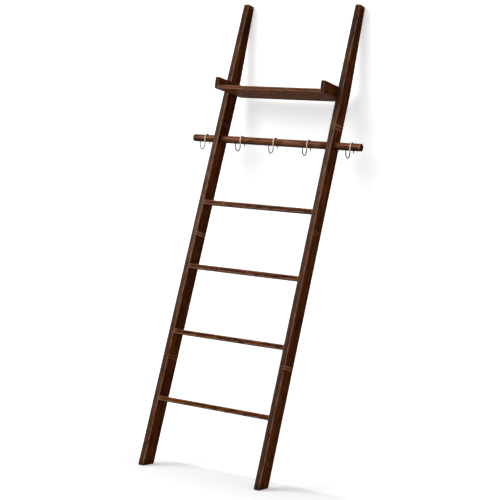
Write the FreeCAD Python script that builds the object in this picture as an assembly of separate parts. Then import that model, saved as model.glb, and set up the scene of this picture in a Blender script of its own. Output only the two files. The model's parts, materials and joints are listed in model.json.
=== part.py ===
import FreeCAD, Part
import math
import os

from FreeCAD import Placement, Rotation, Vector

# A blanket ladder of dark-stained laminated bamboo that leans against a wall: two
# rails, four rungs, a hanging rod with S-hooks, and a small shelf between two cheeks.
# +Z is up, +Y points to the wall and +X is to the right of someone facing the ladder.
# Millimetres and degrees throughout.

# ---- rails ----------------------------------------------------------------------
lean = 12.3                 # of the rails, from upright
outer_width = 490.0         # over both rails
rail_length = 1800.0        # along the front face, from the floor
rail_width = 21.0           # seen from the front
rail_depth = 71.0           # front face to back face
rail_top_depth = 44.0       # front face to back face at the top end
taper_length = 330.0        # of the thinned back, down from the top end
taper_blend = 600.0         # radius that eases the start of the taper
rail_edge = 2.0             # rounding along the rails

# ---- rungs ----------------------------------------------------------------------
rung_count = 4
rung_pitch = 249.0          # from the floor to the first rung, and from rung to rung
rung_height = 17.0          # along the rails
rung_depth = 20.0
rung_setback = 3.0          # behind the rails' front face
rung_edge = 3.0             # rounding along the rungs

# ---- hanging rod ----------------------------------------------------------------
rod_place = 1256.0          # of the rod's axis, up the rails
rod_diameter = 28.0
rod_overhang = 105.0        # outside each rail
rod_end_round = 3.0
rod_fit = 0.1               # radial, glued in the rails

# ---- shelf ----------------------------------------------------------------------
shelf_height = 1396.0       # of the underside, above the floor
shelf_depth = 205.0
shelf_reach = 111.0         # in front of the rails, at the underside
board_thickness = 13.0
cheek_height = 44.0
cheek_thickness = 14.0
cheek_corner = 6.0          # rounding of a cheek's upper front corner
shelf_edge = 2.0            # rounding of the cheeks' other edges and of the board's front

# ---- S-hooks --------------------------------------------------------------------
wire_diameter = 3.8
hook_gap = 0.3              # between rod and wire
hook_stem = 18.0            # straight wire between the two bends
hook_loop = 16.0            # inner radius of the lower bend
hook_front_tail = 16.0      # straight wire past the lower bend
hook_rear_tail = 23.5       # straight wire down behind the rod
hook_hang = 14.0            # of the stem, from upright, swung back under the rod
left_hook_place = 49.0      # from the left rail's outer face
inner_hook_places = (-140.0, 0.0, 138.0)    # from the rod's middle
right_hook_place = 65.0     # from the right rail's outer face

# ---- pads -----------------------------------------------------------------------
foot_pad_thickness = 3.0
foot_pad_inset = 1.0        # from the foot's outline
wall_pad_thickness = 2.5
wall_pad_length = 40.0
wall_pad_inset = 3.0        # from the rail's sides
wall_pad_drop = 8.0         # below the rail's top end

# ---- dowels and screws ----------------------------------------------------------
glue_gap = 0.1              # radial, round a dowel or a screw
dowel_end_gap = 0.5         # left at the bottom of a dowel's hole
rung_dowel_diameter = 8.0
rung_dowel_skin = 7.5       # wood left between the hole and the rail's outer face
rung_dowel_in_rung = 16.0
board_dowel_diameter = 6.0
board_dowel_skin = 5.5      # wood left between the hole and the cheek's outer face
board_dowel_in_board = 14.0
board_dowel_count = 3
board_dowel_margin = 25.0   # from the board's front and back edges
screw_diameter = 4.0
screw_head_diameter = 8.0
screw_socket = 2.5          # hexagon, across flats
screw_socket_depth = 1.4
rod_screw_bite = 9.0        # into the rod
cheek_screw_skin = 6.0      # wood left between the point and the rail's outer face
cheek_screw_spacing = 34.0

# ---- what follows from the sizes ------------------------------------------------
lean_sin = math.sin(math.radians(lean))
lean_cos = math.cos(math.radians(lean))
lean_tan = lean_sin / lean_cos
half_width = outer_width / 2
inner_half = half_width - rail_width
board_half = inner_half - cheek_thickness
rod_radius = rod_diameter / 2
rod_depth = rail_depth / 2
rod_half_length = half_width + rod_overhang
wire_radius = wire_diameter / 2
taper_angle = math.atan((rail_depth - rail_top_depth) / taper_length)
back_length = rail_length + rail_top_depth * lean_tan   # up to the back of the level top
wall_pad_top = back_length - wall_pad_drop
shelf_front = shelf_height * lean_tan - shelf_reach
drill_start = 1.0           # how far outside the wood a drilled hole's cutter starts
sides = {"left": -1, "right": 1}


def leaned(shape):
    """Turn a shape from the rails' own frame (x, depth, height) to their lean."""
    shape.rotate(Vector(0, 0, 0), Vector(1, 0, 0), -lean)
    return shape


def on_rail(depth, height):
    """Where a point of the rails' own frame lies, as y and z."""
    return depth * lean_cos + height * lean_sin, height * lean_cos - depth * lean_sin


def across(edge):
    """True for a straight edge along x."""
    if not isinstance(edge.Curve, Part.Line):
        return False
    almost_one = 1 - 1e-6
    return abs(edge.tangentAt(edge.FirstParameter).x) > almost_one


def rounded(shape, radius, wanted):
    """Round the edges that wanted() picks."""
    return shape.makeFillet(radius, [edge for edge in shape.Edges if wanted(edge)])


def drilled(shape, holes):
    """Cut each of the holes out of a shape."""
    for hole in holes:
        shape = shape.cut(hole)
    return shape


# ---- rungs ----------------------------------------------------------------------
def rung_centre(k):
    return Vector(0, rung_setback + rung_depth / 2, rung_pitch * (k + 1))


def rung_dowel(k, side):
    """The round dowel between a rung and one rail, in the rails' own frame."""
    start = rung_centre(k) + Vector(side * (inner_half - rung_dowel_in_rung), 0, 0)
    in_rail = rail_width - rung_dowel_skin - dowel_end_gap
    length = rung_dowel_in_rung + in_rail
    return Part.makeCylinder(rung_dowel_diameter / 2, length, start, Vector(side, 0, 0))


def rung_dowel_hole(k, side):
    """The hole for that dowel, in rail and rung alike."""
    depth = rung_dowel_in_rung + dowel_end_gap
    start = rung_centre(k) + Vector(side * (inner_half - depth), 0, 0)
    length = depth + rail_width - rung_dowel_skin
    radius = rung_dowel_diameter / 2 + glue_gap
    return Part.makeCylinder(radius, length, start, Vector(side, 0, 0))


def rung(k):
    """One rung, square to the rails, with a dowel hole in each end."""
    corner = rung_centre(k) - Vector(inner_half, rung_depth / 2, rung_height / 2)
    bar = Part.makeBox(2 * inner_half, rung_depth, rung_height, corner)
    bar = rounded(bar, rung_edge, across)
    bar = drilled(bar, [rung_dowel_hole(k, side) for side in sides.values()])
    return leaned(bar)


def rung_dowels():
    """The dowels that pin every rung to both rails."""
    pins = [rung_dowel(k, side) for k in range(rung_count) for side in sides.values()]
    return leaned(Part.makeCompound(pins))


# ---- screws ---------------------------------------------------------------------
def screw_form(length, gap, over):
    """A countersunk screw's outline turned about +Z, with the head's top at z = 0: made
    wider by a gap, and with the head's cone going on over its top."""
    radius = screw_diameter / 2 + gap
    head = screw_head_diameter / 2 + gap
    outline = [
        Vector(0, 0, -over),
        Vector(head + over, 0, -over),
        Vector(radius, 0, head - radius),
        Vector(radius, 0, length - radius + gap),
        Vector(0, 0, length + gap),
        Vector(0, 0, -over),
    ]
    full_turn = 360
    return Part.Face(Part.makePolygon(outline)).revolve(Vector(), Vector(0, 0, 1), full_turn)


def screw_socket_form():
    """The hexagon that the key turns."""
    corner_turn = 60
    reach = screw_socket / 2 / math.cos(math.radians(corner_turn / 2))
    corners = []
    for k in range(7):
        turn = math.radians(corner_turn * k)
        corners.append(Vector(reach * math.cos(turn), reach * math.sin(turn), 0))
    return Part.Face(Part.makePolygon(corners)).extrude(Vector(0, 0, screw_socket_depth))


def screws(places, length):
    """Countersunk screws, each at its place and in its direction."""
    made = []
    for place, direction in places:
        screw = screw_form(length, 0, 0).cut(screw_socket_form())
        screw.Placement = Placement(place, Rotation(Vector(0, 0, 1), direction))
        made.append(screw)
    return made


def screw_holes(places, length):
    """The holes for such screws."""
    made = []
    for place, direction in places:
        hole = screw_form(length, glue_gap, drill_start)
        hole.Placement = Placement(place, Rotation(Vector(0, 0, 1), direction))
        made.append(hole)
    return made


# ---- hanging rod ----------------------------------------------------------------
rod_screw_length = rail_depth - rod_depth - rod_radius + rod_screw_bite


def rod_screw_places(side):
    """The screw that locks the rod, from a rail's back face, in the rails' own frame."""
    place = Vector(side * (inner_half + rail_width / 2), rail_depth, rod_place)
    return [(place, Vector(0, -1, 0))]


def hanging_rod():
    """The round bar, through both rails, with eased ends and two screw holes."""
    start = Vector(-rod_half_length, rod_depth, rod_place)
    bar = Part.makeCylinder(rod_radius, 2 * rod_half_length, start, Vector(1, 0, 0))
    bar = rounded(bar, rod_end_round, lambda edge: isinstance(edge.Curve, Part.Circle))
    for side in sides.values():
        bar = drilled(bar, screw_holes(rod_screw_places(side), rod_screw_length))
    return leaned(bar)


def rod_screws():
    """The screws that lock the rod in both rails."""
    made = []
    for side in sides.values():
        made += screws(rod_screw_places(side), rod_screw_length)
    return leaned(Part.makeCompound(made))


# ---- shelf ----------------------------------------------------------------------
cheek_screw_length = cheek_thickness + rail_width - cheek_screw_skin


def cheek_screw_places(side):
    """The two screws from a cheek's inner face into its rail, level like the shelf."""
    height = shelf_height + (board_thickness + cheek_height) / 2
    middle = height * lean_tan + rail_depth / lean_cos / 2
    places = []
    for step in (-cheek_screw_spacing / 2, cheek_screw_spacing / 2):
        place = Vector(side * board_half, middle + step, height)
        places.append((place, Vector(side, 0, 0)))
    return places


def board_dowels(side, gap, end_gap):
    """The dowels between the board and one cheek, or their holes, wider and longer."""
    in_cheek = cheek_thickness - board_dowel_skin - dowel_end_gap
    first = shelf_front + board_dowel_margin
    step = (shelf_depth - 2 * board_dowel_margin) / (board_dowel_count - 1)
    start_x = side * (board_half - board_dowel_in_board - end_gap)
    length = board_dowel_in_board + in_cheek + 2 * end_gap
    radius = board_dowel_diameter / 2 + gap
    made = []
    for k in range(board_dowel_count):
        start = Vector(start_x, first + step * k, shelf_height + board_thickness / 2)
        made.append(Part.makeCylinder(radius, length, start, Vector(side, 0, 0)))
    return made


def shelf_board():
    """The board between the cheeks, level, with a rounded front."""
    corner = Vector(-board_half, shelf_front, shelf_height)
    board = Part.makeBox(2 * board_half, shelf_depth, board_thickness, corner)
    middle = shelf_front + shelf_depth / 2
    board = rounded(board, shelf_edge, lambda edge: across(edge) and edge.CenterOfMass.y < middle)
    for side in sides.values():
        board = drilled(board, board_dowels(side, glue_gap, dowel_end_gap))
    return board


def shelf_cheek(side):
    """The upright end of the shelf, on the rail's inner face."""
    first = min(side * inner_half, side * board_half)
    corner = Vector(first, shelf_front, shelf_height)
    cheek = Part.makeBox(cheek_thickness, shelf_depth, cheek_height, corner)

    def by_corner(edge):
        """True for the edges along x that lie by the upper front corner."""
        middle = edge.CenterOfMass
        near_front = middle.y < shelf_front + cheek_corner + shelf_edge
        near_top = middle.z > shelf_height + cheek_height - cheek_corner - shelf_edge
        return across(edge) and near_front and near_top

    cheek = rounded(cheek, cheek_corner, by_corner)
    cheek = rounded(cheek, shelf_edge, lambda edge: not by_corner(edge))
    cheek = drilled(cheek, board_dowels(side, glue_gap, dowel_end_gap))
    return drilled(cheek, screw_holes(cheek_screw_places(side), cheek_screw_length))


def shelf_dowels():
    """The dowels that join the board to both cheeks."""
    made = []
    for side in sides.values():
        made += board_dowels(side, 0, 0)
    return Part.makeCompound(made)


def shelf_screws():
    """The screws that fix both cheeks to the rails."""
    made = []
    for side in sides.values():
        made += screws(cheek_screw_places(side), cheek_screw_length)
    return Part.makeCompound(made)


# ---- rails ----------------------------------------------------------------------
def tapered_depth(height):
    """Depth of the rail on its thinned stretch."""
    share = (back_length - height) / taper_length
    return rail_top_depth + (rail_depth - rail_top_depth) * share


foot_front = foot_pad_thickness / lean_cos
foot_back = (foot_pad_thickness + rail_depth * lean_sin) / lean_cos


def rail_outline():
    """The rail from its side, in its own frame: the foot, cut level, the back, the eased
    start of the taper, the taper, the top, cut level too, and the front."""
    ease = taper_blend * math.tan(taper_angle / 2)
    bend = Vector(0, rail_depth, back_length - taper_length)
    taper_start = bend - Vector(0, 0, ease)
    taper_end = bend + Vector(0, -math.sin(taper_angle), math.cos(taper_angle)) * ease
    centre = taper_start - Vector(0, taper_blend, 0)
    half_turn = taper_angle / 2
    arc_middle = centre + Vector(0, math.cos(half_turn), math.sin(half_turn)) * taper_blend
    foot = Vector(0, 0, foot_front)
    heel = Vector(0, rail_depth, foot_back)
    top_back = Vector(0, rail_top_depth, back_length)
    top_front = Vector(0, 0, rail_length)
    return [
        Part.LineSegment(foot, heel).toShape(),
        Part.LineSegment(heel, taper_start).toShape(),
        Part.Arc(taper_start, arc_middle, taper_end).toShape(),
        Part.LineSegment(taper_end, top_back).toShape(),
        Part.LineSegment(top_back, top_front).toShape(),
        Part.LineSegment(top_front, foot).toShape(),
    ]


def rail(side):
    """One rail, its long edges and its top's two cross edges rounded, its foot sharp."""
    body = Part.Face(Part.Wire(rail_outline())).extrude(Vector(rail_width, 0, 0))
    body.translate(Vector(min(side * inner_half, side * half_width), 0, 0))

    def rounds(edge):
        if across(edge):
            return edge.CenterOfMass.z > rail_length - rail_edge
        return edge.BoundBox.ZMax > foot_back + rail_edge

    body = rounded(body, rail_edge, rounds)
    body = drilled(body, [rung_dowel_hole(k, side) for k in range(rung_count)])
    bore_start = Vector(side * (inner_half - drill_start), rod_depth, rod_place)
    bore_length = rail_width + 2 * drill_start
    bore_radius = rod_radius + rod_fit
    bore = Part.makeCylinder(bore_radius, bore_length, bore_start, Vector(side, 0, 0))
    body = drilled(body, [bore] + screw_holes(rod_screw_places(side), rod_screw_length))
    return drilled(leaned(body), screw_holes(cheek_screw_places(side), cheek_screw_length))


# ---- pads -----------------------------------------------------------------------
def foot_pad(side):
    """The thin pad under a foot, a little smaller than the foot."""
    front_y, floor_z = on_rail(0, foot_front)
    first = min(side * inner_half, side * half_width) + foot_pad_inset
    corner = Vector(first, front_y + foot_pad_inset, floor_z - foot_pad_thickness)
    width = rail_width - 2 * foot_pad_inset
    depth = rail_depth / lean_cos - 2 * foot_pad_inset
    return Part.makeBox(width, depth, foot_pad_thickness, corner)


def wall_pad(side):
    """The pad on the thinned back of a rail's top, where it meets the wall."""
    first = min(side * inner_half, side * half_width) + wall_pad_inset
    width = rail_width - 2 * wall_pad_inset
    corner = Vector(first, 0, -wall_pad_length)
    pad = Part.makeBox(width, wall_pad_thickness, wall_pad_length, corner)
    pad.rotate(Vector(0, 0, 0), Vector(1, 0, 0), math.degrees(taper_angle))
    pad.translate(Vector(0, tapered_depth(wall_pad_top), wall_pad_top))
    return leaned(pad)


# ---- S-hooks --------------------------------------------------------------------
def hook_places():
    """Where the hooks hang along the rod, as x, from left to right."""
    left = -half_width - left_hook_place
    right = half_width + right_hook_place
    return [left, *inner_hook_places, right]


def hook(x):
    """One S-hook of round wire over the rod, in one upright plane, with round ends."""
    upper = rod_radius + hook_gap + wire_radius
    lower = hook_loop + wire_radius
    front = -upper - 2 * lower
    rear_tip = Vector(0, upper, -hook_rear_tail)
    rear_bend = Vector(0, upper, 0)
    stem_top = Vector(0, -upper, 0)
    stem_foot = Vector(0, -upper, -hook_stem)
    lower_bottom = Vector(0, -upper - lower, -hook_stem - lower)
    front_bend = Vector(0, front, -hook_stem)
    front_tip = Vector(0, front, -hook_stem + hook_front_tail)
    path = Part.Wire([
        Part.LineSegment(rear_tip, rear_bend).toShape(),
        Part.Arc(rear_bend, Vector(0, 0, upper), stem_top).toShape(),
        Part.LineSegment(stem_top, stem_foot).toShape(),
        Part.Arc(stem_foot, lower_bottom, front_bend).toShape(),
        Part.LineSegment(front_bend, front_tip).toShape(),
    ])
    section = Part.Wire([Part.makeCircle(wire_radius, rear_tip, Vector(0, 0, 1))])
    solid, frenet = True, False
    wire = path.makePipeShell([section], solid, frenet)
    for tip in (rear_tip, front_tip):
        wire = wire.fuse(Part.makeSphere(wire_radius, tip))
    wire = wire.removeSplitter()
    wire.rotate(Vector(0, 0, 0), Vector(1, 0, 0), hook_hang)
    rod_y, rod_z = on_rail(rod_depth, rod_place)
    wire.translate(Vector(x, rod_y, rod_z))
    return wire


# ---- the whole ladder -----------------------------------------------------------
def model():
    """Every node by name, with the floor at z = 0, where the line of the front face is y = 0."""
    nodes = {}
    for name, side in sides.items():
        nodes[name + "_rail"] = rail(side)
        nodes[name + "_foot_pad"] = foot_pad(side)
        nodes[name + "_wall_pad"] = wall_pad(side)
        nodes[name + "_shelf_cheek"] = shelf_cheek(side)
    for k in range(rung_count):
        nodes["rung_" + str(k + 1)] = rung(k)
    nodes["rung_dowels"] = rung_dowels()
    nodes["hanging_rod"] = hanging_rod()
    nodes["rod_screws"] = rod_screws()
    nodes["shelf_board"] = shelf_board()
    nodes["shelf_dowels"] = shelf_dowels()
    nodes["shelf_screws"] = shelf_screws()
    for number, x in enumerate(hook_places(), start=1):
        nodes["hook_" + str(number)] = hook(x)
    return nodes


def middle_of_depth():
    """Halfway from the feet's front edge to the back edge of the wall pads, as y."""
    pad_out = wall_pad_thickness
    corner_depth = tapered_depth(wall_pad_top) + pad_out * math.cos(taper_angle)
    corner_height = wall_pad_top + pad_out * math.sin(taper_angle)
    return (on_rail(0, foot_front)[0] + on_rail(corner_depth, corner_height)[0]) / 2


os.makedirs("parts", exist_ok=True)
to_origin = Vector(0, -middle_of_depth(), 0)
for node, shape in model().items():
    shape.translate(to_origin)
    shape.exportStep("parts/" + node + ".step")
    print(node, len(shape.Solids), "solids", "valid" if shape.isValid() else "INVALID")
print("middle of the depth", round(-to_origin.y, 3))
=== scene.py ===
import bmesh
import bpy
import json
import math
from mathutils import Matrix, Vector

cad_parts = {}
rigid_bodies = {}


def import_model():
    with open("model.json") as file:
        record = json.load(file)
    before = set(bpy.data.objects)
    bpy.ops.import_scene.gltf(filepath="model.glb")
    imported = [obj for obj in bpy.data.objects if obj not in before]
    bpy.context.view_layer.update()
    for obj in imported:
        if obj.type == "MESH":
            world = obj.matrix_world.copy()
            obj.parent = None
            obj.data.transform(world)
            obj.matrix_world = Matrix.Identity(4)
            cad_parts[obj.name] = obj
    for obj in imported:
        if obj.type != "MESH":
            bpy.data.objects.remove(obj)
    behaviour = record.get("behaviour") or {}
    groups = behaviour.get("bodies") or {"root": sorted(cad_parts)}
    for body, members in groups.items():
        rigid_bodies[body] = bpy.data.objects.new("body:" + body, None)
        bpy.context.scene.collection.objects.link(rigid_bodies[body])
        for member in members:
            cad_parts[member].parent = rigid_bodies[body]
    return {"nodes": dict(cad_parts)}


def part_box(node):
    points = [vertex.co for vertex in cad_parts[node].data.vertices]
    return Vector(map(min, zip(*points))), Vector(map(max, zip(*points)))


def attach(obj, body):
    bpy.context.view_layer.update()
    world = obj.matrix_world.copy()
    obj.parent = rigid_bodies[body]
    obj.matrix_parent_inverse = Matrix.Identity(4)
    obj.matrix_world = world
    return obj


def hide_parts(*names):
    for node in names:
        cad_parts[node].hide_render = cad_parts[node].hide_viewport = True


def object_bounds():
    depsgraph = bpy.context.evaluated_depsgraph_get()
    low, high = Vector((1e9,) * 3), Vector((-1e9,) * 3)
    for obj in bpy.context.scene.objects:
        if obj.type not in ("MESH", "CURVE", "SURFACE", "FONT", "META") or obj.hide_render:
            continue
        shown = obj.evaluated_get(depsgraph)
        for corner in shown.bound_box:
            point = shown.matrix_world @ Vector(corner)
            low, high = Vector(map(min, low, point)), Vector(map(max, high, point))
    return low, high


for stray in list(bpy.data.objects):
    bpy.data.objects.remove(stray)
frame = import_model()
cad_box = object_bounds()
nodes = frame["nodes"]

# ---- rails ----------------------------------------------------------------------
# The two long boards that carry everything: bamboo strips glued side by side, planed,
# eased along the edges and stained dark walnut under a thin satin lacquer. Where the
# cane has a joint, the stain leaves a pale double bar.

LEAN = math.radians(12.3)
RAIL_HALF_WIDTH = 0.0105
RAIL_DEPTH = 0.071
RAIL_LENGTH = 1.8
RAIL_SIZE = (2 * RAIL_HALF_WIDTH, RAIL_DEPTH, RAIL_LENGTH)
RAIL_CENTRE = (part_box("right_rail")[0].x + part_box("right_rail")[1].x) / 2
RAIL_FOOT_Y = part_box("right_rail")[0].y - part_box("right_rail")[0].z * math.tan(LEAN)
# Where the line of the rails' fronts starts, in the axes that lean with the rails.
RAIL_START = (RAIL_FOOT_Y * math.cos(LEAN), RAIL_FOOT_Y * math.sin(LEAN))

STAIN_DARK = (0.024, 0.0050, 0.0008, 1)
STAIN_SOAKED = (0.0096, 0.0020, 0.00032, 1)
STAIN_MID = (0.088, 0.0190, 0.0022, 1)
STAIN_WARM = (0.190, 0.0520, 0.0080, 1)
# Paler stain for the joints' cores and for the sheen sides, where it is partly thin stain and
# partly a painted sheen.
STAIN_THIN_AND_SHEEN = (0.230, 0.1050, 0.0520, 1)
# Pale edges: partly worn stain and partly painted highlights along the edges.
STAIN_WORN_AND_HIGHLIGHT = (0.300, 0.1850, 0.1200, 1)
# Darker colour along the edge at low X.
EDGE_DARK = (0.052, 0.0330, 0.0240, 1)
JOINT_PALE = (0.500, 0.2950, 0.1800, 1)

# About how often in a metre each mark of the stain changes: across the cane's width,
# across its depth and along it.
BLOTCH_GRAIN = (26, 26, 11)
CLOUD_GRAIN = (60, 60, 8)
WEAR_AND_HIGHLIGHT_GRAIN = (70, 70, 30)
RIPPLE_GRAIN = (90, 90, 0)
PATCH_GRAIN = (130, 130, 22)
FIBRE_GRAIN = (650, 650, 9)
FLECK_GRAIN = (1500, 1500, 70)
PORE_GRAIN = 1300.0

STRIP_CONTRAST = 0.16
KNUCKLE_PITCH = 0.31
# How far a joint's bars waver, what share of their strength is left on the sheen sides,
# where the stain is thinner and a sheen is painted, how strong the tanned core between
# them is beside them, and how far they rise.
JOINT_RIPPLE = 0.0006
JOINT_ON_SHEEN_SIDE = 0.25
JOINT_CORE = 0.4
JOINT_RISE = 1.5
# How much darker a rail is towards its back, foot and top. The back's darkening starts at
# a share of the depth. A span is how far from the end the darkening is full and how far none.
BACK_DARKENING = 0.75
BACK_DARKENING_START = 0.45
FOOT_DARKENING = 0.65
FOOT_DARKENING_SPAN = (0.004, 0.035)
TOP_DARKENING = 0.38
TOP_DARKENING_SPAN = (0.04, 0.30)


def set_inputs(tree, node, inputs):
    """Give a node's inputs, by name or as _number, their values or what feeds them."""
    for name, value in inputs.items():
        wanted = name.replace("_", " ")
        socket = next((s for s in node.inputs if s.name == wanted and s.enabled), None)
        if socket is None:
            socket = node.inputs[int(name[1:])]
        if isinstance(value, bpy.types.NodeSocket):
            tree.links.new(value, socket)
        else:
            socket.default_value = value


def add_node(tree, kind, settings=None, **inputs):
    """A shader node with its settings and its inputs, which are values or outputs."""
    node = tree.nodes.new("ShaderNode" + kind)
    for name, value in (settings or {}).items():
        setattr(node, name, value)
    set_inputs(tree, node, inputs)
    return node


def calc(tree, operation, a, b=0.0, c=0.0):
    """One step of arithmetic on values."""
    return add_node(tree, "Math", {"operation": operation}, _0=a, _1=b, _2=c).outputs[0]


def times(tree, a, b):
    """The product of two values."""
    return calc(tree, "MULTIPLY", a, b)


def vector_calc(tree, operation, a, b=(0, 0, 0)):
    """One step of arithmetic on vectors."""
    settings = {"operation": operation}
    return add_node(tree, "VectorMath", settings, _0=a, _1=b).outputs[0]


def measure(tree, operation, a, b=(0, 0, 0)):
    """A value worked out from vectors, such as a length."""
    settings = {"operation": operation}
    return add_node(tree, "VectorMath", settings, _0=a, _1=b).outputs["Value"]


def split(tree, vector):
    """The X, Y and Z of a vector."""
    return add_node(tree, "SeparateXYZ", Vector=vector).outputs


def join(tree, x, y, z):
    """A vector of three values."""
    return add_node(tree, "CombineXYZ", X=x, Y=y, Z=z).outputs[0]


def ramp(tree, value, low, high, to_low=0.0, to_high=1.0):
    """A value eased from to_low to to_high as it goes from low to high."""
    settings = {"interpolation_type": "SMOOTHSTEP"}
    inputs = {"_0": value, "_1": low, "_2": high, "_3": to_low, "_4": to_high}
    return add_node(tree, "MapRange", settings, **inputs).outputs[0]


def mix_colour(tree, factor, a, b):
    """Two colours mixed by a factor."""
    return add_node(tree, "Mix", {"data_type": "RGBA"}, _0=factor, _6=a, _7=b).outputs[2]


def toned(tree, colour, value):
    """A colour made darker or lighter by a value."""
    return vector_calc(tree, "MULTIPLY", colour, join(tree, value, value, value))


def noise(tree, vector, grain, detail=3.0, roughness=0.55):
    """Noise from 0 to 1 that changes about so often in a metre along each axis."""
    stretched = vector_calc(tree, "MULTIPLY", vector, grain)
    inputs = {"Vector": stretched, "Scale": 1.0, "Detail": detail, "Roughness": roughness}
    return add_node(tree, "TexNoise", **inputs).outputs[0]


def calmed(tree, value, middle, eager):
    """A noise whose swings about its middle are as wide as eager says."""
    return calc(tree, "MULTIPLY_ADD", calc(tree, "SUBTRACT", value, middle), eager, middle)


def effect(name, inputs, outputs):
    """An empty shader node group: its tree, its inputs by name, and its output node."""
    group = bpy.data.node_groups.new(name, "ShaderNodeTree")
    for socket, kind in inputs.items():
        group.interface.new_socket(socket, in_out="INPUT", socket_type="NodeSocket" + kind)
    for socket, kind in outputs.items():
        group.interface.new_socket(socket, in_out="OUTPUT", socket_type="NodeSocket" + kind)
    given = group.nodes.new("NodeGroupInput").outputs
    return group, given, group.nodes.new("NodeGroupOutput")


def placed(tree, group, **inputs):
    """The outputs of a shader node group placed in a material."""
    return add_node(tree, "Group", {"node_tree": group}, **inputs).outputs


def bamboo_figure():
    """Glued bamboo strips under stain. The vector is in metres, with Z along the cane."""
    inputs = {"Vector": "Vector", "Facing": "Vector", "Strip width": "Float",
              "Strip depth": "Float", "Seed": "Float", "Tint": "Float", "Calm": "Float"}
    outputs = {"Color": "Color", "Roughness": "Float", "Height": "Float", "Patch": "Float"}
    group, given, result = effect("bamboo_figure", inputs, outputs)
    seed = given["Seed"]
    seeded = vector_calc(group, "ADD", given["Vector"], join(group, seed, seed, seed))
    axes = split(group, given["Vector"])
    column = calc(group, "FLOOR", calc(group, "DIVIDE", axes["X"], given["Strip width"]))
    row = calc(group, "FLOOR", calc(group, "DIVIDE", axes["Y"], given["Strip depth"]))
    cell = join(group, column, row, seed)
    strip = add_node(group, "TexWhiteNoise", {"noise_dimensions": "3D"}, Vector=cell).outputs[0]

    eager = calc(group, "SUBTRACT", 1, given["Calm"])
    blotch = calmed(group, noise(group, seeded, BLOTCH_GRAIN, 4), 0.5, eager)
    cloud = calmed(group, noise(group, seeded, CLOUD_GRAIN, 3), 0.56, eager)
    patch = calmed(group, noise(group, seeded, PATCH_GRAIN, 3, 0.6), 0.5, eager)
    fibre = noise(group, seeded, FIBRE_GRAIN, 4, 0.6)
    fleck = noise(group, seeded, FLECK_GRAIN, 2)

    tone = calc(group, "ADD", times(group, strip, STRIP_CONTRAST), blotch)
    colour = mix_colour(group, ramp(group, tone, 0.44, 0.62), STAIN_DARK, STAIN_MID)
    colour = mix_colour(group, ramp(group, cloud, 0.48, 0.70, 0.0, 0.85), colour, STAIN_WARM)
    streak = ramp(group, fibre, 0.30, 0.72, 0.66, 1.30)
    streak = times(group, streak, ramp(group, patch, 0.38, 0.60, 0.50, 1.40))
    colour = toned(group, colour, times(group, streak, given["Tint"]))
    flecks = ramp(group, fleck, 0.62, 0.72, 0.0, 0.55)
    colour = mix_colour(group, flecks, colour, STAIN_DARK)

    along = calc(group, "DIVIDE", axes["Z"], KNUCKLE_PITCH)
    along = calc(group, "FRACT", calc(group, "ADD", along, strip))
    off = calc(group, "ABSOLUTE", calc(group, "SUBTRACT", along, 0.5))
    knuckle = ramp(group, off, 0.003, 0.008, 0.45, 0.0)
    colour = mix_colour(group, knuckle, colour, STAIN_WARM)

    across = vector_calc(group, "MULTIPLY", given["Vector"], (1, 1, 0))
    pores = add_node(group, "TexVoronoi", Vector=across, Scale=PORE_GRAIN).outputs["Distance"]
    cut = mix_colour(group, ramp(group, pores, 0.15, 0.45), STAIN_SOAKED, STAIN_DARK)
    facing = split(group, vector_calc(group, "ABSOLUTE", given["Facing"]))
    ends = times(group, ramp(group, facing["Z"], 0.70, 0.90), 0.85)
    colour = mix_colour(group, ends, colour, cut)

    rough = calc(group, "ADD", ramp(group, fibre, 0.3, 0.7, 0.42, 0.56), flecks)
    set_inputs(group, result, {"Color": colour, "Roughness": rough,
                               "Height": calc(group, "SUBTRACT", fibre, flecks),
                               "Patch": ramp(group, patch, 0.38, 0.62)})
    return group


def worn_and_highlit_edges():
    """Broken-up mask of a box's edges from Low to High: partly wear, partly painted highlight.
    """
    inputs = {"Vector": "Vector", "Low": "Vector", "High": "Vector", "Width": "Float"}
    group, given, result = effect("worn_and_highlit_edges", inputs, {"Mask": "Float"})
    over = vector_calc(group, "SUBTRACT", given["Vector"], given["Low"])
    under = vector_calc(group, "SUBTRACT", given["High"], given["Vector"])
    x, y, z = split(group, vector_calc(group, "MINIMUM", over, under))
    lesser = calc(group, "MINIMUM", x, y)
    greater = calc(group, "MAXIMUM", x, y)
    to_edge = calc(group, "MAXIMUM", lesser, calc(group, "MINIMUM", greater, z))
    edge = calc(group, "DIVIDE", to_edge, given["Width"])
    broken = noise(group, given["Vector"], WEAR_AND_HIGHLIGHT_GRAIN, 4, 0.65)
    edge = calc(group, "ADD", edge, ramp(group, broken, 0.35, 0.68, -0.3, 0.7))
    set_inputs(group, result, {"Mask": ramp(group, edge, 0.55, 1.25, 1.0, 0.0)})
    return group


def cane_joint():
    """Mask of one joint of the cane: two pale bars with a tanned core between them."""
    inputs = {"Vector": "Vector", "Place": "Float", "Spread": "Float", "Bar": "Float",
              "Slant": "Float"}
    group, given, result = effect("cane_joint", inputs, {"Bars": "Float", "Core": "Float"})
    axes = split(group, given["Vector"])
    ripple = noise(group, given["Vector"], RIPPLE_GRAIN, 2)
    along = calc(group, "SUBTRACT", axes["Z"], given["Place"])
    along = calc(group, "SUBTRACT", along, times(group, axes["Y"], given["Slant"]))
    along = calc(group, "ADD", along, ramp(group, ripple, 0.3, 0.7, -JOINT_RIPPLE, JOINT_RIPPLE))
    off = calc(group, "ABSOLUTE", along)
    from_bar = calc(group, "ABSOLUTE", calc(group, "SUBTRACT", off, given["Spread"]))
    bars = ramp(group, calc(group, "DIVIDE", from_bar, given["Bar"]), 0.35, 1.0, 1.0, 0.0)
    core = ramp(group, calc(group, "DIVIDE", off, given["Spread"]), 0.5, 1.0, 1.0, 0.0)
    set_inputs(group, result, {"Bars": bars, "Core": core})
    return group


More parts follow.
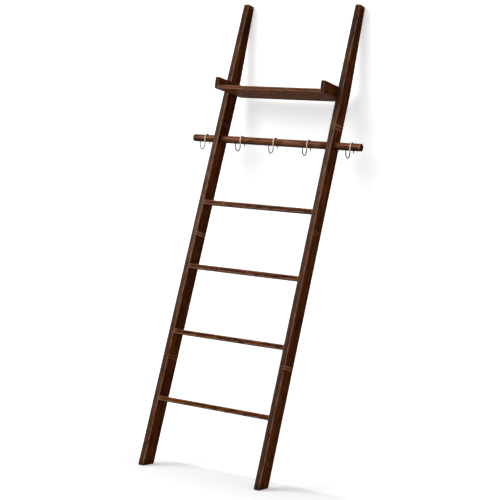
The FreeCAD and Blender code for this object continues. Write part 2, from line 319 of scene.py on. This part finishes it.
BAMBOO_FIGURE = bamboo_figure()
WORN_AND_HIGHLIT_EDGES = worn_and_highlit_edges()
CANE_JOINT = cane_joint()


def new_material(name):
    """A new material and its node tree."""
    material = bpy.data.materials.new(name)
    material.use_nodes = True
    return material, material.node_tree


def set_shader(tree, inputs):
    """Give the inputs of a new material's shader their values or what feeds them."""
    set_inputs(tree, tree.nodes["Principled BSDF"], inputs)


def in_board(tree, vector, lean, along):
    """A vector of the part's frame turned so that Z runs along a board's cane."""
    turned = add_node(tree, "Mapping", {"vector_type": "POINT"}, Vector=vector,
                      Rotation=(lean, 0, 0)).outputs[0]
    if along == "z":
        return turned
    axes = split(tree, turned)
    if along == "x":
        return join(tree, axes["Y"], axes["Z"], axes["X"])
    return join(tree, axes["Z"], axes["X"], axes["Y"])


def crossed_by_joints(tree, board, sheen_side, joints, colour, height):
    """The colour and height of a board where the joints of the cane cross it."""
    for place, spread, bar, slant, strength in joints:
        joint = placed(tree, CANE_JOINT, Vector=board, Place=place, Spread=spread, Bar=bar,
                       Slant=slant)
        shown = ramp(tree, sheen_side, 0, 1, strength, JOINT_ON_SHEEN_SIDE * strength)
        bars = times(tree, joint["Bars"], shown)
        core = times(tree, joint["Core"], times(tree, shown, JOINT_CORE))
        colour = mix_colour(tree, core, colour, STAIN_THIN_AND_SHEEN)
        colour = mix_colour(tree, bars, colour, JOINT_PALE)
        height = calc(tree, "ADD", height, times(tree, bars, JOINT_RISE))
    return colour, height


def darkened_low_x_edge(tree, board, low_x_darkening, sheen_side, patch, colour):
    """A colour darkened on the sheen sides along the edge at low X."""
    darker_edge = ramp(tree, split(tree, board)["X"], 0.4 * low_x_darkening, low_x_darkening, 0.8, 0.0)
    darker_edge = times(tree, darker_edge, sheen_side)
    darker_edge = times(tree, darker_edge, ramp(tree, patch, 0, 1, 1.2, 0.5))
    return mix_colour(tree, darker_edge, colour, EDGE_DARK)


def darkened_back_foot_top(tree, board, size, colour):
    """A colour made darker towards a board's back, foot and top."""
    places = split(tree, board)
    foot_low, foot_high = FOOT_DARKENING_SPAN
    top_low = size[2] - TOP_DARKENING_SPAN[1]
    top_high = size[2] - TOP_DARKENING_SPAN[0]
    to_back = ramp(tree, places["Y"], BACK_DARKENING_START * size[1], size[1], 0.0, BACK_DARKENING)
    to_foot = ramp(tree, places["Z"], foot_low, foot_high, FOOT_DARKENING, 0.0)
    to_top = ramp(tree, places["Z"], top_low, top_high, 0.0, TOP_DARKENING)
    darkened = calc(tree, "MAXIMUM", to_back, calc(tree, "MAXIMUM", to_foot, to_top))
    return mix_colour(tree, darkened, colour, STAIN_DARK)


def bamboo_material(name, corner, size=None, lean=0.0, along="z", strip=(0.011, 0.0103),
                    seed=0.0, joints=(), edge_width=0.0028, wear_and_highlight=0.6, sheen_axes=(0, 1, 0),
                    thin_and_sheen_mix=0.12, sheen_band=None, gloss=(0.03, 0.11), tint=1.0, calm=0.0,
                    low_x_darkening=0.0, spared=0.0, under=1.0):
    """Stained bamboo for a board of a size whose cane runs along one of its axes.

    The stain is thinner on the sides that face along the sheen axes, where the lacquer is
    glossier, and those sides are painted paler too, a painted sheen. The sheen band is the
    stretch of a rail's front painted paler still: a painted highlight where the lamps' sheen
    falls. Calm evens the stain out. The low X darkening is how far the colour darkens along
    the edge at low X, and where it is given, the back, foot and top are darker too. The
    edge width is how wide the pale edges are and the wear and highlight how pale; they are
    partly worn edges and partly painted highlights. They leave out the edges at low X and at
    the back where spared moves the box out from them. Under darkens or lightens what faces
    down: painted shade below 1 and painted light above it.
    """
    material, tree = new_material(name)
    given = add_node(tree, "TexCoord").outputs
    board = vector_calc(tree, "SUBTRACT", in_board(tree, given["Object"], lean, along), corner)
    facing = in_board(tree, given["Normal"], lean, along)
    figure = placed(tree, BAMBOO_FIGURE, Vector=board, Facing=facing, Strip_width=strip[0],
                    Strip_depth=strip[1], Seed=seed, Tint=tint, Calm=calm)
    rough = figure["Roughness"]
    patch = figure["Patch"]

    # The sheen sides take a thinner stain and a glossier lacquer, and are painted paler too:
    # partly thin stain, partly painted sheen.
    turned_to = measure(tree, "DOT_PRODUCT", vector_calc(tree, "ABSOLUTE", facing), sheen_axes)
    sheen_side = ramp(tree, turned_to, 0.55, 0.90)
    thin_stain_and_sheen = times(tree, sheen_side, thin_and_sheen_mix)
    # Painted highlight: the sheen band paints a rail's front paler still where the lamps' sheen
    # falls.
    if sheen_band:
        band_middle, reach, paler = sheen_band
        off_band = calc(tree, "SUBTRACT", split(tree, board)["Z"], band_middle)
        off_band = calc(tree, "ABSOLUTE", off_band)
        thin_stain_and_sheen = times(tree, thin_stain_and_sheen, ramp(tree, off_band, 0.1 * reach, reach, paler, 0.12))
    thin_stain_and_sheen = times(tree, thin_stain_and_sheen, ramp(tree, patch, 0, 1, 0.35, 1.6))
    colour = mix_colour(tree, thin_stain_and_sheen, figure["Color"], STAIN_THIN_AND_SHEEN)
    colour, height = crossed_by_joints(tree, board, sheen_side, joints, colour, figure["Height"])
    # Darker along the edge at low X, and towards the back, foot and top.
    if low_x_darkening:
        colour = darkened_low_x_edge(tree, board, low_x_darkening, sheen_side, patch, colour)
        colour = darkened_back_foot_top(tree, board, size, colour)
    # What faces down is painted darker as painted shade when under is below 1, and paler as
    # painted light when it is above 1.
    if under != 1:
        up = split(tree, given["Normal"])["Z"]
        colour = toned(tree, colour, ramp(tree, up, -0.75, 0.35, under, 1.0))
    # Pale edges: partly wear, partly painted highlights where the edges catch the light.
    if wear_and_highlight:
        edges = placed(tree, WORN_AND_HIGHLIT_EDGES, Vector=board, Low=(-spared, 0, 0),
                       High=(size[0], size[1] + spared, size[2]), Width=edge_width)
        worn_and_highlit = times(tree, edges["Mask"], wear_and_highlight)
        colour = mix_colour(tree, worn_and_highlit, colour, STAIN_WORN_AND_HIGHLIGHT)
        rough = calc(tree, "ADD", rough, times(tree, worn_and_highlit, 0.12))

    lacquer = ramp(tree, sheen_side, 0, 1, gloss[0], gloss[1])
    lacquer = times(tree, lacquer, ramp(tree, patch, 0, 1, 0.55, 1.3))
    to_end = calc(tree, "ABSOLUTE", split(tree, facing)["Z"])
    lacquer = times(tree, lacquer, ramp(tree, to_end, 0.6, 0.9, 1.0, 0.1))
    bump = add_node(tree, "Bump", Strength=0.35, Distance=0.0003, Height=height)
    set_shader(tree, {"Base Color": colour, "Roughness": rough, "Coat Weight": lacquer,
                      "Normal": bump.outputs["Normal"], "Specular IOR Level": 0.0,
                      "Coat Roughness": 0.32})
    return material


def finish_with(material, *names):
    """Give CAD nodes a material."""
    for name in names:
        nodes[name].data.materials.clear()
        nodes[name].data.materials.append(material)


# Where the cane's joints cross each rail: place up the rail, distance of each bar from
# it, how far a bar reaches either way, slope from front to back, strength.
RAIL_JOINTS = {
    "left_rail": [(0.873, 0.0048, 0.0034, 0.09, 0.75), (1.309, 0.0055, 0.0020, 0.1, 0.25),
                  (0.402, 0.0050, 0.0020, 0.08, 0.22)],
    "right_rail": [(1.319, 0.0072, 0.0034, 0.20, 0.70), (0.428, 0.0045, 0.0028, 0.07, 0.70),
                   (0.921, 0.0050, 0.0025, 0.1, 0.20), (0.092, 0.0050, 0.0025, 0.1, 0.10)],
}
# Painted highlight: the stretch of each rail's front painted paler where the lamps' sheen
# falls: middle, reach either way, how much.
RAIL_SHEEN_BAND = {"left_rail": (1.06, 0.50, 3.2), "right_rail": (1.18, 0.31, 3.0)}
RAIL_TINT = {"left_rail": 1.08, "right_rail": 1.26}
RAIL_SEED = {"left_rail": 1.0, "right_rail": 2.6}
for rail, sign in (("left_rail", -1), ("right_rail", 1)):
    corner = (sign * RAIL_CENTRE - RAIL_HALF_WIDTH, *RAIL_START)
    stained = bamboo_material(rail, corner, RAIL_SIZE, LEAN, seed=RAIL_SEED[rail],
                              joints=RAIL_JOINTS[rail], sheen_band=RAIL_SHEEN_BAND[rail],
                              low_x_darkening=0.017, spared=0.02, edge_width=0.0042, wear_and_highlight=0.52,
                              gloss=(0.03, 0.058), calm=0.5, tint=RAIL_TINT[rail])
    finish_with(stained, rail)

# ---- rungs ----------------------------------------------------------------------
# Four slim bars of the same bamboo between the rails, each pinned with a hidden beech
# dowel at both ends and glued.

RUNGS = ["rung_1", "rung_2", "rung_3", "rung_4"]
RUNG_PITCH = 0.249
RUNG_HEIGHT = 0.017
RUNG_DEPTH = 0.020
RUNG_SETBACK = 0.003
for number, rung in enumerate(RUNGS):
    low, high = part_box(rung)
    up_rail = RAIL_START[1] + RUNG_PITCH * (number + 1) - RUNG_HEIGHT / 2
    corner = (RAIL_START[0] + RUNG_SETBACK, up_rail, low.x)
    size = (RUNG_DEPTH, RUNG_HEIGHT, high.x - low.x)
    # Their pale edges are partly wear and partly painted highlights, the top edge catching the
    # lamps and the bottom edge the floor.
    stained = bamboo_material(rung, corner, size, LEAN, "x", strip=(0.010, 0.009),
                              seed=4.0 + number, edge_width=0.0038, wear_and_highlight=0.65, sheen_axes=(1, 0, 0),
                              thin_and_sheen_mix=0.03, gloss=(0.03, 0.05))
    finish_with(stained, rung)

# ---- hanging rod ----------------------------------------------------------------
# A round bar turned from glued bamboo, a little lighter than the rails, that passes
# through both rails and is locked from behind by a screw in each. It has no edges to
# wear.

# One joint, close to the rod's right end, told as for the rails. Its pale bars also stand
# in for the highlight on the rounded end, a painted highlight. The whole rod counts as a
# side with thinner stain and painted sheen, so only a share of the joint's strength shows.
ROD_JOINT_AND_HIGHLIGHT = [(0.694, 0.0012, 0.0022, 0.0, 1.4)]
corner = (0, 0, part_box("hanging_rod")[0].x)
# Its lower half is painted darker by under: painted shade, as if lit from above.
stained = bamboo_material("hanging_rod", corner, along="x", strip=(0.009, 0.009), seed=9.0,
                          sheen_axes=(1, 1, 0), thin_and_sheen_mix=0.30, joints=ROD_JOINT_AND_HIGHLIGHT,
                          gloss=(0.1, 0.18), tint=1.5, wear_and_highlight=0.0, under=0.38)
finish_with(stained, "hanging_rod")

# ---- shelf ----------------------------------------------------------------------
# A level board between two upright cheeks, of wider bamboo strips. The cheeks are
# screwed to the rails from inside, and the board is dowelled to them.

low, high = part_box("shelf_board")
size = high - low
# The board's underside is painted paler by under: painted light from the floor below.
stained = bamboo_material("shelf_board", (low.y, low.z, low.x), (size.y, size.z, size.x),
                          along="x", strip=(0.019, 0.0065), seed=11.0, sheen_axes=(1, 1, 0),
                          thin_and_sheen_mix=0.16, gloss=(0.03, 0.08), tint=1.1, calm=0.55,
                          under=1.35)
finish_with(stained, "shelf_board")
for number, cheek in enumerate(("left_shelf_cheek", "right_shelf_cheek")):
    low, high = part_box(cheek)
    size = high - low
    stained = bamboo_material(cheek, (low.z, low.x, low.y), (size.z, size.x, size.y),
                              along="y", strip=(0.020, 0.007), seed=12.0 + number,
                              sheen_axes=(0, 0, 1), wear_and_highlight=0.35, tint=1.1, calm=0.6)
    finish_with(stained, cheek)

# ---- fixings --------------------------------------------------------------------
# Screws plated with black zinc, which have hexagon sockets, and plain beech dowels that
# are hidden in the joints.

ZINC = (0.05, 0.05, 0.052, 1)
BEECH = (0.52, 0.34, 0.18, 1)
MOTTLE_GRAIN = (300, 300, 300)
FINE_GRAIN = (2500, 2500, 2500)


def plain_material(name, colour, metallic, roughness):
    """One colour with a fine grain, a little mottled in tone and roughness."""
    material, tree = new_material(name)
    given = add_node(tree, "TexCoord").outputs["Object"]
    patch = noise(tree, given, MOTTLE_GRAIN, 4)
    darker = [0.6 * part for part in colour[:3]] + [1]
    tone = mix_colour(tree, ramp(tree, patch, 0.35, 0.65), darker, colour)
    rough = ramp(tree, patch, 0.3, 0.7, roughness - 0.08, roughness + 0.08)
    grain = noise(tree, given, FINE_GRAIN, 2)
    bump = add_node(tree, "Bump", Strength=0.2, Distance=0.0002, Height=grain)
    set_shader(tree, {"Base Color": tone, "Roughness": rough, "Metallic": metallic,
                      "Normal": bump.outputs["Normal"]})
    return material


finish_with(plain_material("black_zinc", ZINC, 0.9, 0.42), "rod_screws", "shelf_screws")
finish_with(plain_material("beech", BEECH, 0.0, 0.6), "rung_dowels", "shelf_dowels")

# ---- S-hooks --------------------------------------------------------------------
# Bent steel wire with a dark nickel finish and rounded tips, hung over the rod. The
# front of the bend over the rod is painted bright, a painted highlight.

HOOKS = ["hook_1", "hook_2", "hook_3", "hook_4", "hook_5"]
ROD_Y = (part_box("hanging_rod")[0].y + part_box("hanging_rod")[1].y) / 2
ROD_Z = (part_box("hanging_rod")[0].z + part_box("hanging_rod")[1].z) / 2
NICKEL_DARK = (0.012, 0.011, 0.011, 1)
NICKEL_SCUFFED = (0.06, 0.057, 0.055, 1)
# Colour of the painted highlight on the front of the bend.
STEEL_HIGHLIGHT = (0.92, 0.80, 0.70, 1)
SCUFF_GRAIN = (500, 500, 500)
SCRATCH_GRAIN = (3000, 600, 600)
# How far from the rod's axis the painted highlight reaches, how uneven its border is,
# and where it fades out towards the back.
HIGHLIGHT_REACH = 0.024
HIGHLIGHT_UNEVEN = 0.003
HIGHLIGHT_BACK = (-0.011, -0.006)


def hook_material():
    """Dark nickel with a painted highlight on the front of the bend over the rod."""
    material, tree = new_material("dark_nickel")
    given = add_node(tree, "TexCoord").outputs["Object"]
    from_rod = vector_calc(tree, "SUBTRACT", given, (0, ROD_Y, ROD_Z))
    from_rod = vector_calc(tree, "MULTIPLY", from_rod, (0, 1, 1))
    reach = measure(tree, "LENGTH", from_rod)
    scuff = noise(tree, given, SCUFF_GRAIN, 4, 0.6)
    uneven = ramp(tree, scuff, 0.3, 0.7, -HIGHLIGHT_UNEVEN, HIGHLIGHT_UNEVEN)
    edge = calc(tree, "ADD", reach, uneven)
    painted_highlight = ramp(tree, edge, 0.8 * HIGHLIGHT_REACH, HIGHLIGHT_REACH, 1.0, 0.0)
    behind = split(tree, from_rod)["Y"]
    painted_highlight = times(tree, painted_highlight, ramp(tree, behind, HIGHLIGHT_BACK[0], HIGHLIGHT_BACK[1], 1.0, 0.0))
    colour = mix_colour(tree, painted_highlight, NICKEL_DARK, STEEL_HIGHLIGHT)
    scuffed = ramp(tree, scuff, 0.45, 0.75, 0.0, 0.35)
    colour = mix_colour(tree, scuffed, colour, NICKEL_SCUFFED)
    scratch = noise(tree, given, SCRATCH_GRAIN, 2)
    rough = ramp(tree, scratch, 0.3, 0.7, 0.30, 0.45)
    bump = add_node(tree, "Bump", Strength=0.15, Distance=0.0001, Height=scratch)
    set_shader(tree, {"Base Color": colour, "Metallic": times(tree, painted_highlight, 0.3),
                      "Roughness": rough, "Normal": bump.outputs["Normal"],
                      "Specular IOR Level": 0.08})
    return material


finish_with(hook_material(), *HOOKS)

# ---- pads -----------------------------------------------------------------------
# Thin moulded black rubber under the feet and behind the rails' tops, glued on, with
# rounded corners and a shallow dish that helps it grip.

RAIL_TOP_DEPTH = 0.044
TAPER_LENGTH = 0.33
WALL_PAD = (0.015, 0.0025, 0.040)
WALL_PAD_TILT = LEAN - math.atan((RAIL_DEPTH - RAIL_TOP_DEPTH) / TAPER_LENGTH)
PAD_CORNER = 0.003
PAD_RIM = 0.002
PAD_DISH = 0.0005
PAD_EDGE = 0.0004
RUBBER = plain_material("rubber", (0.012, 0.012, 0.012, 1), 0.0, 0.7)


def new_piece(name, mesh, material):
    """A smooth piece in the scene that is made from a mesh under construction."""
    data = bpy.data.meshes.new(name)
    mesh.to_mesh(data)
    mesh.free()
    for face in data.polygons:
        face.use_smooth = True
    data.materials.append(material)
    piece = bpy.data.objects.new(name, data)
    bpy.context.scene.collection.objects.link(piece)
    return piece


def moulded_pad(node, size, outward, tilt):
    """A pad of a size in place of a node, dished on the face that looks outward."""
    mesh = bmesh.new()
    bmesh.ops.create_cube(mesh, size=1, matrix=Matrix.Diagonal((*size, 1)))
    outward = Vector(outward)

    def runs_out(edge):
        return abs((edge.verts[0].co - edge.verts[1].co).normalized().dot(outward)) > 0.99

    corners = [edge for edge in mesh.edges if runs_out(edge)]
    bmesh.ops.bevel(mesh, geom=corners, offset=PAD_CORNER, segments=4, affect="EDGES",
                    profile=0.5, material=-1)
    outer = max(mesh.faces, key=lambda face: face.normal.dot(outward))
    bmesh.ops.inset_region(mesh, faces=[outer], thickness=PAD_RIM)
    bmesh.ops.inset_region(mesh, faces=[outer], thickness=PAD_DISH, depth=-PAD_DISH)
    sharp = [edge for edge in mesh.edges if edge.calc_face_angle(0) > math.radians(40)]
    bmesh.ops.bevel(mesh, geom=sharp, offset=PAD_EDGE, segments=2, affect="EDGES",
                    profile=0.5, material=-1)
    low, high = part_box(node)
    place = Matrix.Translation((low + high) / 2) @ Matrix.Rotation(-tilt, 4, "X")
    bmesh.ops.transform(mesh, matrix=place, verts=mesh.verts)
    bmesh.ops.recalc_face_normals(mesh, faces=mesh.faces)
    pad = new_piece(node + "_moulded", mesh, RUBBER)
    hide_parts(node)
    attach(pad, "frame")


for side in ("left", "right"):
    low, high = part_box(side + "_foot_pad")
    moulded_pad(side + "_foot_pad", high - low, (0, 0, -1), 0)
    moulded_pad(side + "_wall_pad", WALL_PAD, (0, 1, 0), WALL_PAD_TILT)

# ---- studio ---------------------------------------------------------------------
# A white floor, and a white wall close behind the pads that curves up from it and can be
# seen from the front only. They and the world show lighter to the camera than they light
# the ladder. Two soft lamps stand high in front, to the left.

STAGE_REACH = 8.0
WALL_GAP = 0.0005
WALL_Y = cad_box[1].y + WALL_GAP
COVE_GAP = 0.0004
COVE_RADIUS = 0.24
COVE_STEPS = 24
PAINT_LIT = (0.55, 0.55, 0.55, 1)
PAINT_SEEN = (0.97, 0.97, 0.97, 1)
# How much the floor and the wall are lifted near the origin, how much both are far from
# it, and the distances between which that changes.
FLOOR_LIFT = 0.285
WALL_LIFT = 0.45
FAR_LIFT = 0.5
LIFT_NEAR = 0.3
LIFT_FAR = 0.9
WORLD_LIT = 0.42
WORLD_SEEN = 1.0


def seen_directly(tree):
    """1 for the camera's rays and for mirrored or let-through ones, 0 for all others."""
    rays = add_node(tree, "LightPath").outputs
    seen = calc(tree, "MAXIMUM", rays["Is Camera Ray"], rays["Is Glossy Ray"])
    return calc(tree, "MAXIMUM", seen, rays["Is Transmission Ray"])


def stage_material(name, near_lift, one_sided):
    """Matt white that shows lighter than it lights, by a lift that eases to the far one."""
    material, tree = new_material(name)
    tree.nodes.clear()
    seen = seen_directly(tree)
    paint = mix_colour(tree, seen, PAINT_LIT, PAINT_SEEN)
    matt = add_node(tree, "BsdfDiffuse", Color=paint).outputs[0]
    reach = measure(tree, "LENGTH", add_node(tree, "TexCoord").outputs["Object"])
    lift_by = ramp(tree, reach, LIFT_NEAR, LIFT_FAR, near_lift, FAR_LIFT)
    lift = add_node(tree, "Emission", Strength=times(tree, seen, lift_by)).outputs[0]
    surface = add_node(tree, "AddShader", _0=matt, _1=lift).outputs[0]
    if one_sided:
        behind = add_node(tree, "NewGeometry").outputs["Backfacing"]
        clear = add_node(tree, "BsdfTransparent").outputs[0]
        surface = add_node(tree, "MixShader", _0=behind, _1=surface, _2=clear).outputs[0]
    add_node(tree, "OutputMaterial", Surface=surface)
    return material


def stage_sheet(name, path, material):
    """A sheet as wide as the stage that follows a path of y and z."""
    mesh = bmesh.new()
    points = [mesh.verts.new((-STAGE_REACH, y, z)) for y, z in path]
    edges = [mesh.edges.new(pair) for pair in zip(points, points[1:])]
    pulled = bmesh.ops.extrude_edge_only(mesh, edges=edges)["geom"]
    moved = [part for part in pulled if isinstance(part, bmesh.types.BMVert)]
    bmesh.ops.translate(mesh, verts=moved, vec=(2 * STAGE_REACH, 0, 0))
    new_piece(name, mesh, material)


floor_path = [(STAGE_REACH, 0), (-STAGE_REACH, 0)]
stage_sheet("floor", floor_path, stage_material("floor", FLOOR_LIFT, False))
wall_path = []
for step in range(COVE_STEPS + 1):
    turn = math.radians(90) * step / COVE_STEPS
    wall_path.append((WALL_Y - COVE_RADIUS * (1 - math.sin(turn)),
                      COVE_RADIUS * (1 - math.cos(turn)) + COVE_GAP))
wall_path.append((WALL_Y, STAGE_REACH))
stage_sheet("wall", wall_path, stage_material("wall", WALL_LIFT, True))

world = bpy.data.worlds.new("studio")
world.use_nodes = True
tree = world.node_tree
strength = ramp(tree, seen_directly(tree), 0, 1, WORLD_LIT, WORLD_SEEN)
set_inputs(tree, tree.nodes["Background"], {"Strength": strength, "Color": (1, 1, 1, 1)})
bpy.context.scene.world = world

# Each lamp's place, width and watts.
LAMPS = {"softbox": ((-1.4, -2.6, 2.5), 3.0, 57), "sheen": ((-1.75, -2.45, 2.5), 1.6, 22)}
LAMPS_AIM = Vector((0, 0, 0.9))
for name, (place, width, watts) in LAMPS.items():
    light = bpy.data.lights.new(name, "AREA")
    light.shape = "DISK"
    light.size = width
    light.energy = watts
    lamp = bpy.data.objects.new(name, light)
    lamp.location = place
    lamp.rotation_euler = (LAMPS_AIM - Vector(place)).to_track_quat("-Z", "Y").to_euler()
    bpy.context.scene.collection.objects.link(lamp)

# ---- camera ---------------------------------------------------------------------
# It stands in front and to the right, near the ladder's middle height, and is rolled by
# a few degrees. It was fitted to the rails, rungs, rod and shelf in the square picture.

CAMERA_AIM = Vector((0.10632, -0.21528, 0.80816))
CAMERA_DISTANCE = 4.0746
CAMERA_AZIMUTH = math.radians(27.87)
CAMERA_ELEVATION = math.radians(-0.59)
CAMERA_ROLL = math.radians(6.58)
FOCAL_PIXELS = 1181.5
FRAME_PIXELS = 500
SENSOR = 36.0

flat = math.cos(CAMERA_ELEVATION)
ahead = Vector((-math.sin(CAMERA_AZIMUTH) * flat, math.cos(CAMERA_AZIMUTH) * flat,
                -math.sin(CAMERA_ELEVATION)))
level = Vector((math.cos(CAMERA_AZIMUTH), math.sin(CAMERA_AZIMUTH), 0))
upward = level.cross(ahead)
across = level * math.cos(CAMERA_ROLL) + upward * math.sin(CAMERA_ROLL)
above = across.cross(ahead)
camera_data = bpy.data.cameras.new("camera")
camera_data.sensor_width = SENSOR
camera_data.lens = FOCAL_PIXELS / FRAME_PIXELS * SENSOR
camera = bpy.data.objects.new("camera", camera_data)
turned = Matrix((across, above, -ahead)).transposed().to_4x4()
camera.matrix_world = Matrix.Translation(CAMERA_AIM - ahead * CAMERA_DISTANCE) @ turned
bpy.context.scene.collection.objects.link(camera)
bpy.context.scene.camera = camera

bpy.context.scene.view_settings.view_transform = "Standard"
